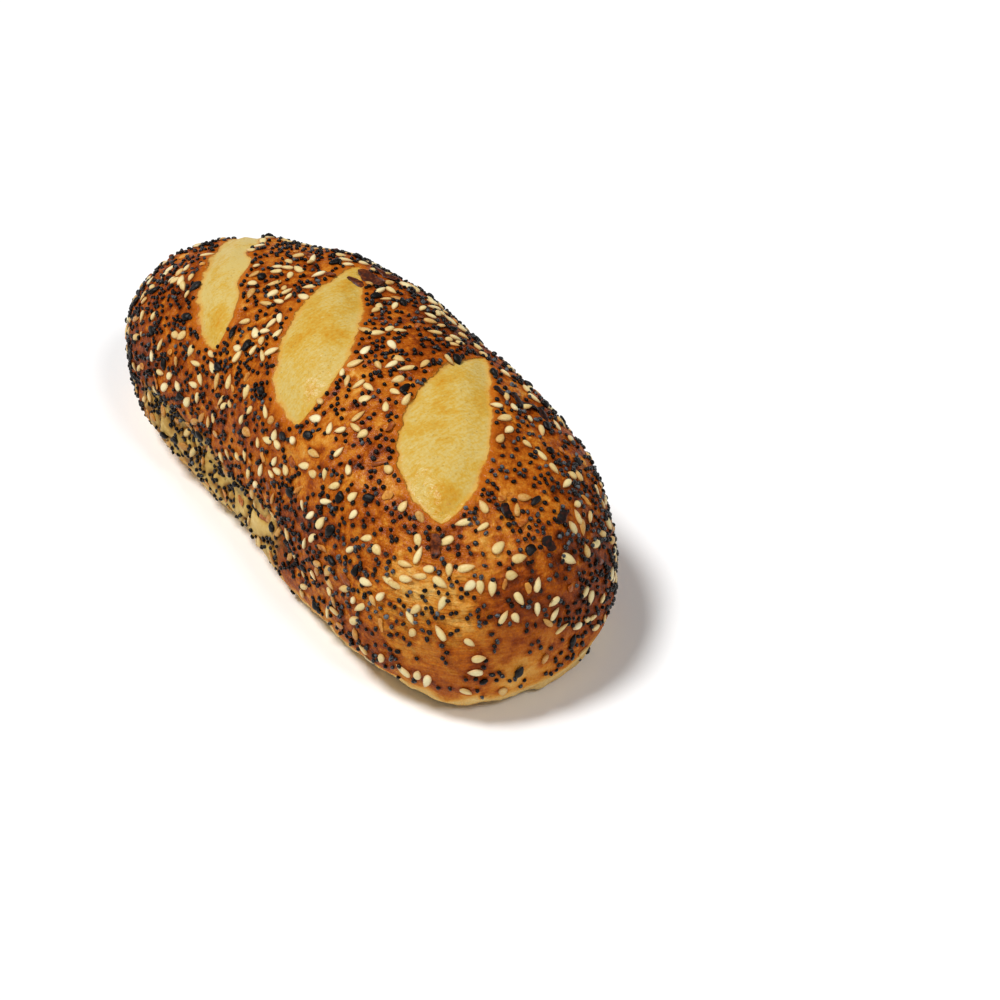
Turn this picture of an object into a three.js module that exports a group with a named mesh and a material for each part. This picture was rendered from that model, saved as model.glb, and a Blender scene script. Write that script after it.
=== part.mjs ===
// Sub roll: one oblong seeded roll with a flat base and three diagonal slashes, as one solid.
// It lies along X with its fuller end at +X and rests on z = 0. All sizes are in millimetres.
import * as THREE from "three";

// Overall size of the loaf shape before its unevenness is added.
const ROLL_LENGTH = 154;
const ROLL_WIDTH = 64.5;
const ROLL_HEIGHT = 50.5;

// Plan outline: squareness of the long sides, of the fuller end and of the far end.
const SIDE_SQUARENESS = 3.4;
const NEAR_END_SQUARENESS = 2.58;
const FAR_END_SQUARENESS = 2.5;
// The fuller end is broader and higher, and the roll bends a little towards -Y at both ends.
const WIDTH_TAPER = 0.066;
const WIDTH_FLARE = 0.066;
const HEIGHT_TAPER = 0.055;
const HEIGHT_FLARE = 0.03;
const BEND = -0.083;

// Upright section: squareness, widest level as a share of the height, and how far the flank tucks in below.
const SECTION_SQUARENESS = 2.45;
const WIDEST_LEVEL = 0.26;
const FLANK_TUCK = 1.4;
const NEAR_END_TUCK = 2.2;
const TUCK_FALLOFF = 4;
const BASE_EDGE_ROUNDING = 2.0;

// Low swells of the crust: waves per mm along X, Y and Z, phase, and height in mm.
const SWELLS = [
  { x: 0.075, y: 0.05, z: 0.03, phase: 0.6, height: 0.45 },
  { x: 0.13, y: -0.11, z: 0.09, phase: 2.1, height: 0.35 },
  { x: 0.21, y: 0.16, z: -0.12, phase: 4.0, height: 0.22 },
  { x: 0.06, y: -0.24, z: 0.17, phase: 5.2, height: 0.25 },
];

// Slashes: middle, heading of the long axis, length, width, place of the widest point, and bow.
const SLASHES = [
  { x: -45, y: -6.5, heading: 141.5, length: 57, width: 12.5, widest: -0.1, bow: 0.6 },
  { x: -3.9, y: -5.5, heading: 133.6, length: 52.5, width: 17.3, widest: -0.12, bow: 0.6 },
  { x: 39.6, y: 0.4, heading: 136, length: 50.5, width: 19.7, widest: -0.22, bow: 3.0 },
];
const SLASH_HEAD_FULLNESS = 2.7;
const SLASH_TAIL_FULLNESS = 1.45;
const SLASH_STEP = 0.65;
const SLASH_SWELL = 0.95;
const SLASH_SWELL_REACH = 7;
const SLASH_EDGE_RUN = 2.8;
const CRUST_LIP = 0.45;
const CRUST_LIP_REACH = 4.5;
const SLASH_LEVEL = 0.45;

// Fold along the -Y flank where the pale underside dough meets the browned crust.
const FOLD_FROM = -58;
const FOLD_TO = 34;
const FOLD_FADE = 14;
const FOLD_LEVEL = 17;
const FOLD_SWAY = 2.2;
const FOLD_SWAY_RATE = 0.14;
const FOLD_WIDTH = 3.0;
const FOLD_DEPTH = 1.3;

// Uneven foot where the crust meets the base.
const FOOT_LIP = 0.7;
const FOOT_RISE = 3.0;
const FOOT_WAVES = [
  { count: 9, height: 0.5 },
  { count: 23, height: 0.3 },
];
const FOOT_NOTCH_HEADING = -14;
const FOOT_NOTCH_WIDTH = 13;
const FOOT_NOTCH_DEPTH = 1.6;

// Facets of the skin: steps along X, across Y, up the flank to the crown, and down the flank to the base.
const STEPS_LONG = 68;
const STEPS_ACROSS = 30;
const STEPS_UP = 8;
const STEPS_DOWN = 4;

const CRUST_COLOUR = 0xbb7126;
const CRUST_ROUGHNESS = 0.5;

const smoothStep = (t) => {
  const s = Math.min(1, Math.max(0, t));
  return s * s * (3 - 2 * s);
};

// A point of the loaf's skin: `cos` and `sin` give the heading in plan, `turn` the angle above or below
// the widest level, and `below` picks the flank under it.
function skinPoint(cos, sin, turn, below) {
  const c = Math.cos(turn);
  const s = Math.sin(turn);
  const even = Math.pow(Math.pow(c, SECTION_SQUARENESS) + Math.pow(s, SECTION_SQUARENESS),
    -1 / SECTION_SQUARENESS);
  const spread = c * even;
  const rise = s * even;
  const endSquareness = cos > 0 ? NEAR_END_SQUARENESS : FAR_END_SQUARENESS;
  const along = Math.abs(cos);
  const rim = SIDE_SQUARENESS * (1 - along) + endSquareness * along;
  const squareness = 2 + (rim - 2) * spread * spread;
  const reach = Math.pow(Math.pow(along, squareness) + Math.pow(Math.abs(sin), squareness),
    -1 / squareness);
  const u = cos * reach * spread;
  const v = sin * reach * spread;
  const widest = WIDEST_LEVEL * ROLL_HEIGHT;
  let z = widest + (ROLL_HEIGHT - widest) * rise;
  if (below) {
    const drop = widest - widest * tuckAt(cos) * rise;
    z = drop;
    if (drop < BASE_EDGE_ROUNDING) {
      z = Math.pow(drop + BASE_EDGE_ROUNDING, 2) / (4 * BASE_EDGE_ROUNDING);
    }
  }
  return new THREE.Vector3(
    (ROLL_LENGTH / 2) * u,
    (ROLL_WIDTH / 2) * v * (1 + WIDTH_TAPER * u + WIDTH_FLARE * u * u) + ROLL_WIDTH * BEND * u * u,
    z * (1 + HEIGHT_TAPER * u + HEIGHT_FLARE * u * u),
  );
}

function tuckAt(cos) {
  return FLANK_TUCK + (NEAR_END_TUCK - FLANK_TUCK) * Math.pow(Math.max(0, cos), TUCK_FALLOFF);
}

// The turn at which the flank has come down to the base.
function baseTurn(cos) {
  const widest = WIDEST_LEVEL * ROLL_HEIGHT;
  const rise = (widest + BASE_EDGE_ROUNDING) / (widest * tuckAt(cos));
  const spread = Math.pow(1 - Math.pow(rise, SECTION_SQUARENESS), 1 / SECTION_SQUARENESS);
  return Math.atan2(rise, spread);
}

// Distance inside a slash's outline, negative outside it.
function insideSlash(slash, x, y) {
  const heading = THREE.MathUtils.degToRad(slash.heading);
  const dx = x - slash.x;
  const dy = y - slash.y;
  const s = (dx * Math.cos(heading) + dy * Math.sin(heading)) / (slash.length / 2);
  const t = -dx * Math.sin(heading) + dy * Math.cos(heading);
  const tail = s > slash.widest;
  const v = Math.abs(s - slash.widest) / (tail ? 1 - slash.widest : 1 + slash.widest);
  const fullness = tail ? SLASH_TAIL_FULLNESS : SLASH_HEAD_FULLNESS;
  const halfWidth = (slash.width / 2) * (1 - Math.pow(v, fullness));
  return halfWidth - Math.abs(t - slash.bow * (1 - s * s));
}

function slashHeight(point) {
  if (point.z < SLASH_LEVEL * ROLL_HEIGHT) {
    return 0;
  }
  const inside = Math.max(...SLASHES.map((slash) => insideSlash(slash, point.x, point.y)));
  const lip = CRUST_LIP * smoothStep(1 + inside / CRUST_LIP_REACH);
  const cut = smoothStep(0.5 + inside / SLASH_EDGE_RUN);
  const swell = SLASH_SWELL * smoothStep(inside / SLASH_SWELL_REACH);
  return lip * (1 - cut) + cut * (swell - SLASH_STEP);
}

function foldHeight(point) {
  if (point.y > 0) {
    return 0;
  }
  const span = smoothStep((point.x - FOLD_FROM) / FOLD_FADE) * smoothStep((FOLD_TO - point.x) / FOLD_FADE);
  const level = FOLD_LEVEL + FOLD_SWAY * Math.sin(FOLD_SWAY_RATE * point.x);
  const off = (point.z - level) / FOLD_WIDTH;
  return -FOLD_DEPTH * span * Math.exp(-off * off);
}

function footHeight(point, angle) {
  const near = Math.exp(-point.z / FOOT_RISE);
  const waves = FOOT_WAVES.reduce((sum, wave) => sum + wave.height * Math.sin(wave.count * angle), 0);
  const off = (THREE.MathUtils.radToDeg(angle) - FOOT_NOTCH_HEADING) / FOOT_NOTCH_WIDTH;
  return near * (FOOT_LIP + waves - FOOT_NOTCH_DEPTH * Math.exp(-off * off));
}

function swellHeight(point) {
  return SWELLS.reduce((sum, wave) => {
    const phase = wave.x * point.x + wave.y * point.y + wave.z * point.z + wave.phase;
    return sum + wave.height * Math.sin(phase);
  }, 0);
}

// The skin point with its swells, slashes, fold and foot, moved along the outward direction.
function crustPoint(cos, sin, turn, below) {
  const point = skinPoint(cos, sin, turn, below);
  const middle = WIDEST_LEVEL * ROLL_HEIGHT;
  const depth = below ? middle * tuckAt(cos) : ROLL_HEIGHT - middle;
  const out = new THREE.Vector3(
    point.x / Math.pow(ROLL_LENGTH / 2, 2),
    point.y / Math.pow(ROLL_WIDTH / 2, 2),
    (point.z - middle) / Math.pow(depth, 2),
  ).normalize();
  const angle = Math.atan2(sin, cos);
  const height = swellHeight(point) + slashHeight(point) + foldHeight(point) + footHeight(point, angle);
  const lift = smoothStep(point.z / FOOT_RISE);
  point.x += out.x * height;
  point.y += out.y * height;
  point.z += out.z * height * lift;
  return point;
}

// Even spacing over a half ball from a point (x, y) of a square: its crown and the flank share the rim.
function crownPoint(x, y, z) {
  const sx = x * Math.sqrt(1 - (y * y) / 2 - (z * z) / 2 + (y * y * z * z) / 3);
  const sy = y * Math.sqrt(1 - (z * z) / 2 - (x * x) / 2 + (z * z * x * x) / 3);
  const sz = z * Math.sqrt(1 - (x * x) / 2 - (y * y) / 2 + (x * x * y * y) / 3);
  const plan = Math.hypot(sx, sy);
  const turn = Math.atan2(sz, plan);
  return plan > 0 ? crustPoint(sx / plan, sy / plan, turn, false) : crustPoint(1, 0, turn, false);
}

// The square's rim, anticlockwise from its (-1, -1) corner.
function squareRim() {
  const rim = [];
  for (let i = 0; i < STEPS_LONG; i += 1) {
    rim.push([-1 + (2 * i) / STEPS_LONG, -1]);
  }
  for (let j = 0; j < STEPS_ACROSS; j += 1) {
    rim.push([1, -1 + (2 * j) / STEPS_ACROSS]);
  }
  for (let i = 0; i < STEPS_LONG; i += 1) {
    rim.push([1 - (2 * i) / STEPS_LONG, 1]);
  }
  for (let j = 0; j < STEPS_ACROSS; j += 1) {
    rim.push([-1, 1 - (2 * j) / STEPS_ACROSS]);
  }
  return rim;
}

function rollGeometry() {
  const points = [];
  const faces = [];
  const add = (point) => points.push(point) - 1;
  const quad = (a, b, c, d) => faces.push(a, b, c, a, c, d);

  // Crown: a grid over the square's top.
  const crown = [];
  for (let j = 0; j <= STEPS_ACROSS; j += 1) {
    const row = [];
    for (let i = 0; i <= STEPS_LONG; i += 1) {
      row.push(add(crownPoint(-1 + (2 * i) / STEPS_LONG, -1 + (2 * j) / STEPS_ACROSS, 1)));
    }
    crown.push(row);
  }
  for (let j = 0; j < STEPS_ACROSS; j += 1) {
    for (let i = 0; i < STEPS_LONG; i += 1) {
      quad(crown[j][i], crown[j][i + 1], crown[j + 1][i + 1], crown[j + 1][i]);
    }
  }

  // Flank: rings from the crown's rim down to the base.
  const rim = squareRim();
  const gridIndex = ([x, y]) => {
    const i = Math.round(((x + 1) / 2) * STEPS_LONG);
    const j = Math.round(((y + 1) / 2) * STEPS_ACROSS);
    return crown[j][i];
  };
  let above = rim.map(gridIndex);
  for (let k = 1; k <= STEPS_UP + STEPS_DOWN; k += 1) {
    const below = rim.map(([x, y]) => {
      if (k <= STEPS_UP) {
        return add(crownPoint(x, y, 1 - k / STEPS_UP));
      }
      const sx = x * Math.sqrt(1 - (y * y) / 2);
      const sy = y * Math.sqrt(1 - (x * x) / 2);
      return add(crustPoint(sx, sy, (baseTurn(sx) * (k - STEPS_UP)) / STEPS_DOWN, true));
    });
    for (let i = 0; i < rim.length; i += 1) {
      const next = (i + 1) % rim.length;
      quad(above[i], below[i], below[next], above[next]);
    }
    above = below;
  }

  // Base: a flat fan on z = 0.
  const middle = new THREE.Vector3();
  above.forEach((index) => {
    points[index].z = 0;
    middle.add(points[index]);
  });
  const hub = add(middle.divideScalar(above.length));
  above.forEach((index, i) => {
    faces.push(hub, above[(i + 1) % above.length], index);
  });

  const geometry = new THREE.BufferGeometry();
  geometry.setFromPoints(points);
  geometry.setIndex(faces);
  geometry.computeBoundingBox();
  const box = geometry.boundingBox;
  geometry.translate(-(box.min.x + box.max.x) / 2, -(box.min.y + box.max.y) / 2, 0);
  geometry.computeVertexNormals();
  return geometry;
}

const roll = new THREE.Mesh(
  rollGeometry(),
  new THREE.MeshStandardMaterial({
    color: CRUST_COLOUR,
    roughness: CRUST_ROUGHNESS,
    metalness: 0,
  }),
);
roll.name = "roll";

const group = new THREE.Group();
group.name = "sub_roll";
group.add(roll);

export default group;
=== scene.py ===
"""Sub roll: an oblong seeded roll with three diagonal slashes, resting on a pale floor.

The frame's one solid is replaced by a finer body of the same form, and the seeds and onion flakes on it
are pieces of their own. Lengths in this script are in millimetres until a mesh is made.
"""

import math

import bpy
import numpy as np
from mathutils import Matrix, Vector
from mathutils.kdtree import KDTree


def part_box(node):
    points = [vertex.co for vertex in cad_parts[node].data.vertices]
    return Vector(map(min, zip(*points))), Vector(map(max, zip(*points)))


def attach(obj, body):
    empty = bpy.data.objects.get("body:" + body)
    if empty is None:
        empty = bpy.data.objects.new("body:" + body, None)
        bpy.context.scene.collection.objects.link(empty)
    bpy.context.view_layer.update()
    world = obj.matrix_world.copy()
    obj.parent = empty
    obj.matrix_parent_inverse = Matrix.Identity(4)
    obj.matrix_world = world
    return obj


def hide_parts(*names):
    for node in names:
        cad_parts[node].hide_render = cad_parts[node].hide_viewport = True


MM = 0.001
NODE = "roll"
BODY = "root"
BAKE_MAP = "OFBake"

# --- Form of the loaf ---

# The formula and sizes are those of the solid it replaces, but the slashes' outlines are finer here.

ROLL_LENGTH = 154.0
ROLL_WIDTH = 64.5
ROLL_HEIGHT = 50.5
SIDE_SQUARENESS = 3.4
NEAR_END_SQUARENESS = 2.58
FAR_END_SQUARENESS = 2.5
WIDTH_TAPER = 0.066
WIDTH_FLARE = 0.066
HEIGHT_TAPER = 0.055
HEIGHT_FLARE = 0.03
BEND = -0.083
SECTION_SQUARENESS = 2.45
WIDEST_LEVEL = 0.26 * ROLL_HEIGHT
FLANK_TUCK = 1.4
NEAR_END_TUCK = 2.2
TUCK_FALLOFF = 4
BASE_EDGE_ROUNDING = 2.0

# Low swells: waves per mm along X, Y and Z, phase, and height.
SWELLS = (
    (0.075, 0.05, 0.03, 0.6, 0.45),
    (0.13, -0.11, 0.09, 2.1, 0.35),
    (0.21, 0.16, -0.12, 4.0, 0.22),
    (0.06, -0.24, 0.17, 5.2, 0.25),
)

# Slashes: middle x and y, heading in degrees, length, width, place of the widest point, bow, and the
# fullness of the head and of the tail.
SLASHES = (
    (-45.0, -6.5, 141.5, 57.0, 10.9, -0.1, 0.6, 2.7, 2.9),
    (-3.9, -5.5, 133.6, 52.5, 16.8, -0.12, 0.6, 2.7, 1.22),
    (39.6, 0.4, 136.0, 50.5, 19.7, -0.22, 3.0, 2.3, 1.55),
)
SLASH_TIP = 0.8
# Bites that crust takes out of the slashes, and a place that one spills over: x, y, radius and depth.
SLASH_BITES = (
    (-45.9, -2.0, 3.6, 1.6),
    (-33.7, -10.9, 4.0, 1.7),
    (-30.2, -23.5, 4.5, -1.3),
)
FAR_OUTSIDE = -1e3
JUST_OUTSIDE = -3
SLASH_STEP = 0.3
SLASH_SWELL = 0.85
SLASH_SWELL_REACH = 7.0
SLASH_EDGE_RUN = 1.2
SLASH_LOWEST = 0.45 * ROLL_HEIGHT
CRUST_LIP = 0.16
CRUST_LIP_REACH = 3.5

FOLD_FROM = -58.0
FOLD_TO = 34.0
FOLD_FADE = 14.0
FOLD_LEVEL = 17.0
FOLD_SWAY = 2.2
FOLD_SWAY_RATE = 0.14
FOLD_WIDTH = 3.0
FOLD_DEPTH = 1.3

FOOT_LIP = 1.3
FOOT_RISE = 2.4
FOOT_WAVES = ((9, 0.5), (23, 0.35), (41, 0.2))
FOOT_NOTCH_HEADING = -14.0
FOOT_NOTCH_WIDTH = 13.0
FOOT_NOTCH_DEPTH = 1.6

# Steps of the fine body: along X, across Y, up the flank to the crown, and down the flank to the base.
STEPS_LONG = 216
STEPS_ACROSS = 92
STEPS_UP = 50
STEPS_DOWN = 26


def smooth_step(t):
    s = np.clip(t, 0, 1)
    return s * s * (3 - 2 * s)


def tuck_at(cos):
    return FLANK_TUCK + (NEAR_END_TUCK - FLANK_TUCK) * np.maximum(0, cos) ** TUCK_FALLOFF


def base_turn(cos):
    """The turn at which the flank has come down to the base."""
    rise = (WIDEST_LEVEL + BASE_EDGE_ROUNDING) / (WIDEST_LEVEL * tuck_at(cos))
    spread = (1 - rise**SECTION_SQUARENESS) ** (1 / SECTION_SQUARENESS)
    return np.arctan2(rise, spread)


def skin_points(cos, sin, turn, below):
    """Points of the loaf's skin by heading in plan (cos, sin) and angle above or below the widest level."""
    c, s = np.cos(turn), np.abs(np.sin(turn))
    even = (c**SECTION_SQUARENESS + s**SECTION_SQUARENESS) ** (-1 / SECTION_SQUARENESS)
    spread, rise = c * even, s * even
    along = np.abs(cos)
    end = np.where(cos > 0, NEAR_END_SQUARENESS, FAR_END_SQUARENESS)
    rim = SIDE_SQUARENESS * (1 - along) + end * along
    squareness = 2 + (rim - 2) * spread**2
    reach = (along**squareness + np.abs(sin) ** squareness) ** (-1 / squareness)
    u, v = cos * reach * spread, sin * reach * spread
    if below:
        drop = WIDEST_LEVEL * (1 - tuck_at(cos) * rise)
        rounded = (drop + BASE_EDGE_ROUNDING) ** 2 / (4 * BASE_EDGE_ROUNDING)
        z = np.where(drop < BASE_EDGE_ROUNDING, rounded, drop)
    else:
        z = WIDEST_LEVEL + (ROLL_HEIGHT - WIDEST_LEVEL) * rise
    breadth = 1 + WIDTH_TAPER * u + WIDTH_FLARE * u * u
    x = ROLL_LENGTH / 2 * u
    y = ROLL_WIDTH / 2 * v * breadth + ROLL_WIDTH * BEND * u * u
    return np.stack([x, y, z * (1 + HEIGHT_TAPER * u + HEIGHT_FLARE * u * u)], axis=-1)


def inside_slashes(points):
    """Distance inside the nearest slash's outline, negative outside it."""
    found = np.full(len(points), FAR_OUTSIDE)
    for x, y, heading, length, width, widest, bow, head, tail in SLASHES:
        angle = math.radians(heading)
        dx, dy = points[:, 0] - x, points[:, 1] - y
        s = (dx * math.cos(angle) + dy * math.sin(angle)) / (length / 2)
        t = -dx * math.sin(angle) + dy * math.cos(angle)
        past_widest = s > widest
        v = np.abs(s - widest) / np.where(past_widest, 1 - widest, 1 + widest)
        fullness = np.where(past_widest, tail, head)
        half_width = width / 2 * np.maximum(1 - v**fullness, 0) ** SLASH_TIP
        half_width = half_width - np.maximum(v - 1, 0) * length
        found = np.maximum(found, half_width - np.abs(t - bow * (1 - s * s)))
    for x, y, radius, depth in SLASH_BITES:
        off = ((points[:, 0] - x) ** 2 + (points[:, 1] - y) ** 2) / radius**2
        found = found - depth * np.exp(-off)
    return np.where(points[:, 2] < SLASH_LOWEST, np.minimum(found, JUST_OUTSIDE), found)


def crust_points(cos, sin, turn, below):
    """Skin points moved outwards by the swells, slashes, fold and foot, with their distance in a slash."""
    points = skin_points(cos, sin, turn, below)
    depth = WIDEST_LEVEL * tuck_at(cos) if below else np.full_like(cos, ROLL_HEIGHT - WIDEST_LEVEL)
    out = np.stack([
        points[:, 0] / (ROLL_LENGTH / 2) ** 2,
        points[:, 1] / (ROLL_WIDTH / 2) ** 2,
        (points[:, 2] - WIDEST_LEVEL) / depth**2,
    ], axis=-1)
    out /= np.linalg.norm(out, axis=1, keepdims=True)
    x, y, z = points.T
    inside = inside_slashes(points)
    height = sum(size * np.sin(a * x + b * y + c * z + phase) for a, b, c, phase, size in SWELLS)
    height += slash_height(inside) + fold_height(points) + foot_height(points, np.arctan2(sin, cos))
    lift = np.where(z < FOOT_RISE, smooth_step(z / FOOT_RISE), 1)
    points += out * np.stack([height, height, height * lift], axis=-1)
    return points, inside


def slash_height(inside):
    lip = CRUST_LIP * smooth_step(1 + inside / CRUST_LIP_REACH)
    cut = smooth_step(0.5 + inside / SLASH_EDGE_RUN)
    swell = SLASH_SWELL * smooth_step(inside / SLASH_SWELL_REACH)
    return lip * (1 - cut) + cut * (swell - SLASH_STEP)


def span(x, start, end, fade):
    """1 between start and end, fading to 0 at both."""
    return smooth_step((x - start) / fade) * smooth_step((end - x) / fade)


def fold_height(points):
    x, y, z = points.T
    off = (z - FOLD_LEVEL - FOLD_SWAY * np.sin(FOLD_SWAY_RATE * x)) / FOLD_WIDTH
    along = span(x, FOLD_FROM, FOLD_TO, FOLD_FADE)
    return np.where(y < 0, -FOLD_DEPTH * along * np.exp(-off * off), 0)


def foot_height(points, angle):
    waves = sum(height * np.sin(count * angle) for count, height in FOOT_WAVES)
    off = (np.degrees(angle) - FOOT_NOTCH_HEADING) / FOOT_NOTCH_WIDTH
    foot = FOOT_LIP + waves - FOOT_NOTCH_DEPTH * np.exp(-off * off)
    return np.exp(-points[:, 2] / FOOT_RISE) * foot


# --- Noise and meshes ---

NOISE_TABLE = 256
NOISE_GAIN = 1.7
SMALLEST_LENGTH = 1e-9


def noise(points, size, seed):
    """Smooth noise from about -1 to 1 whose lumps are `size` mm apart."""
    rng = np.random.default_rng(seed)
    slopes = rng.normal(size=(NOISE_TABLE, 3))
    slopes /= np.linalg.norm(slopes, axis=1, keepdims=True)
    shuffled = rng.permutation(NOISE_TABLE)
    place = points / size
    cell = np.floor(place).astype(int)
    part = place - cell
    fade = part**3 * (part * (part * 6 - 15) + 10)
    total = np.zeros(len(points))
    for corner in np.ndindex(2, 2, 2):
        key = np.zeros(len(points), int)
        weight = np.ones(len(points))
        for axis in range(3):
            key = shuffled[(key + cell[:, axis] + corner[axis]) % NOISE_TABLE]
            weight *= fade[:, axis] if corner[axis] else 1 - fade[:, axis]
        total += weight * np.einsum("ij,ij->i", slopes[key], part - np.array(corner))
    return total * NOISE_GAIN


def lumps(points, sizes, seed):
    """Noises added up, by (lump size, height), with their seeds counted on from the first."""
    return sum(height * noise(points, size, seed + k) for k, (size, height) in enumerate(sizes))


def vertex_normals(points, quads):
    a, b, c, d = (points[quads[:, corner]] for corner in range(4))
    across = np.cross(c - a, d - b)
    normals = np.zeros_like(points)
    for corner in range(4):
        np.add.at(normals, quads[:, corner], across)
    return normals / np.maximum(np.linalg.norm(normals, axis=1, keepdims=True), SMALLEST_LENGTH)


def linked(name, data):
    made = bpy.data.objects.new(name, data)
    bpy.context.scene.collection.objects.link(made)
    return made


def make_piece(name, points, faces, corner_uv, values, material):
    """A piece from points in mm, faces, a bake map by corner and named values by point."""
    mesh = bpy.data.meshes.new(name)
    corners = np.concatenate([group.ravel() for group in faces]).astype(np.int32)
    sides = np.concatenate([np.full(len(group), group.shape[1]) for group in faces])
    mesh.vertices.add(len(points))
    mesh.vertices.foreach_set("co", (points * MM).astype(np.float32).ravel())
    mesh.loops.add(len(corners))
    mesh.loops.foreach_set("vertex_index", corners)
    mesh.polygons.add(len(sides))
    mesh.polygons.foreach_set("loop_start", (np.cumsum(sides) - sides).astype(np.int32))
    mesh.polygons.foreach_set("use_smooth", np.ones(len(sides), bool))
    mesh.update(calc_edges=True)
    mesh.uv_layers.new(name=BAKE_MAP).uv.foreach_set("vector", corner_uv.astype(np.float32).ravel())
    for label, value in values.items():
        mesh.attributes.new(label, "FLOAT", "POINT").data.foreach_set("value", value.astype(np.float32))
    mesh.validate()
    mesh.materials.append(material)
    piece = linked(name, mesh)
    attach(piece, BODY)
    return piece


# --- The roll's body ---

# The bake map's layout in mm: the crown's half sizes, how far the flank reaches past it, and the base.
CROWN_CHART = np.array([55.0, 23.0])
FLANK_CHART = 40.0
BASE_CHART = np.array([75.0, 28.0])
CHART_GAP = 1.5
CHART_SIDE = 2 * (CROWN_CHART[0] + FLANK_CHART + CHART_GAP)


def square_rim():
    """The square's rim, anticlockwise from (-1, -1), as x, y and the crown's grid column and row."""
    long, across = np.arange(STEPS_LONG), np.arange(STEPS_ACROSS)
    column = np.concatenate([long, 0 * across + STEPS_LONG, STEPS_LONG - long, 0 * across])
    row = np.concatenate([0 * long, across, 0 * long + STEPS_ACROSS, STEPS_ACROSS - across])
    return 2 * column / STEPS_LONG - 1, 2 * row / STEPS_ACROSS - 1, column, row


def ball_heading(x, y, z):
    """Heading and turn of a point of the cube over the square, spread evenly over a ball."""
    sx = x * np.sqrt(1 - y * y / 2 - z * z / 2 + y * y * z * z / 3)
    sy = y * np.sqrt(1 - z * z / 2 - x * x / 2 + z * z * x * x / 3)
    sz = z * np.sqrt(1 - x * x / 2 - y * y / 2 + x * x * y * y / 3)
    plan = np.hypot(sx, sy)
    safe = np.maximum(plan, SMALLEST_LENGTH)
    return np.where(plan > 0, sx / safe, 1.0), sy / safe, np.arctan2(sz, plan)


def quads_between(upper, lower):
    """Quads between two closed rings of point numbers, facing out with `upper` above `lower`."""
    return np.stack([upper, lower, np.roll(lower, -1), np.roll(upper, -1)], axis=1)


def grid_quads(index, up):
    corners = [index[:-1, :-1], index[:-1, 1:], index[1:, 1:], index[1:, :-1]]
    return np.stack([c.ravel() for c in (corners if up else corners[::-1])], axis=1)


def flat_heading(x, y):
    """Cosine and sine of the heading of a point on the square's rim."""
    return x * np.sqrt(1 - y**2 / 2), y * np.sqrt(1 - x**2 / 2)


def base_points(x, y, middle):
    """The flat base's points: the square's grid drawn in from the loaf's lowest edge to its middle."""
    reach = np.maximum(np.abs(x), np.abs(y))
    safe = np.maximum(reach, SMALLEST_LENGTH)
    cos, sin = flat_heading(np.where(reach > 0, x / safe, 1.0), y / safe)
    edge, _ = crust_points(cos, sin, base_turn(cos), True)
    base = middle + (edge - middle) * reach[:, None]
    base[:, 2] = 0
    return base


def ring_heading(x, y, k):
    """Heading and turn of the flank's ring k, counted from the crown's rim down to the base."""
    if k <= STEPS_UP:
        return ball_heading(x, y, np.full_like(x, 1 - k / STEPS_UP))
    cos, sin = flat_heading(x, y)
    return cos, sin, base_turn(cos) * (k - STEPS_UP) / STEPS_DOWN


def bake_map(skin_chart, base_square):
    """The bake map's corners from 0 to 1, with the base beside the skin."""
    skin_uv = skin_chart + CROWN_CHART + FLANK_CHART + CHART_GAP
    base_uv = base_square * BASE_CHART + BASE_CHART + CHART_GAP
    base_uv[..., 1] += 2 * (CROWN_CHART[1] + FLANK_CHART + CHART_GAP)
    return np.concatenate([skin_uv.reshape(-1, 2), base_uv.reshape(-1, 2)]) / CHART_SIDE


def loaf_body():
    """The body's points, quads, bake map and distance inside the slashes, before its fine relief."""
    x, y = np.meshgrid(np.linspace(-1, 1, STEPS_LONG + 1), np.linspace(-1, 1, STEPS_ACROSS + 1))
    x, y = x.ravel(), y.ravel()
    square = np.stack([x, y], axis=1)
    crown, inside = crust_points(*ball_heading(x, y, np.ones_like(x)), False)
    grid = np.arange(len(crown)).reshape(STEPS_ACROSS + 1, STEPS_LONG + 1)
    parts, insides = [crown], [inside]
    charts, quads = [square * CROWN_CHART], [grid_quads(grid, up=True)]

    rim_x, rim_y, column, row = square_rim()
    rim = np.stack([rim_x, rim_y], axis=1)
    above, total = grid[row, column], len(crown)
    steps = STEPS_UP + STEPS_DOWN
    for k in range(1, steps + 1):
        ring, inside = crust_points(*ring_heading(rim_x, rim_y, k), k > STEPS_UP)
        parts.append(ring)
        insides.append(inside)
        charts.append(rim * (CROWN_CHART + FLANK_CHART * k / steps))
        below = total + np.arange(len(ring))
        quads.append(quads_between(above, below))
        above, total = below, total + len(ring)

    # The last ring is the base's rim.
    ring[:, 2] = 0
    inner = np.ones(grid.shape, bool)
    inner[[0, -1], :] = False
    inner[:, [0, -1]] = False
    base = base_points(x, y, ring.mean(axis=0))[inner.ravel()]
    parts.append(base)
    insides.append(np.full(len(base), inside_slashes(base).min()))
    base_index = np.zeros(grid.shape, int)
    base_index[row, column] = above
    base_index[inner] = total + np.arange(len(base))
    skin_quads, base_quads = np.concatenate(quads), grid_quads(base_index, up=False)
    corner_uv = bake_map(np.concatenate(charts)[skin_quads], square[grid_quads(grid, up=False)])
    return np.concatenate(parts), skin_quads, base_quads, corner_uv, np.concatenate(insides)


def fit_to_frame(points):
    """Scales the points to the CAD solid's box, so that the body has exactly its size and place."""
    low, high = (np.array(corner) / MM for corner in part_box(NODE))
    own_low, own_high = points.min(axis=0), points.max(axis=0)
    return low + (points - own_low) * (high - low) / (own_high - own_low)


# First seeds of the lumpy noises. The other noises are given as (lump size, seed).
TOAST_SEED = 20
CRUST_SEED = 30
SLASH_SEED = 40
RAGGED_SEED = 50

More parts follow.
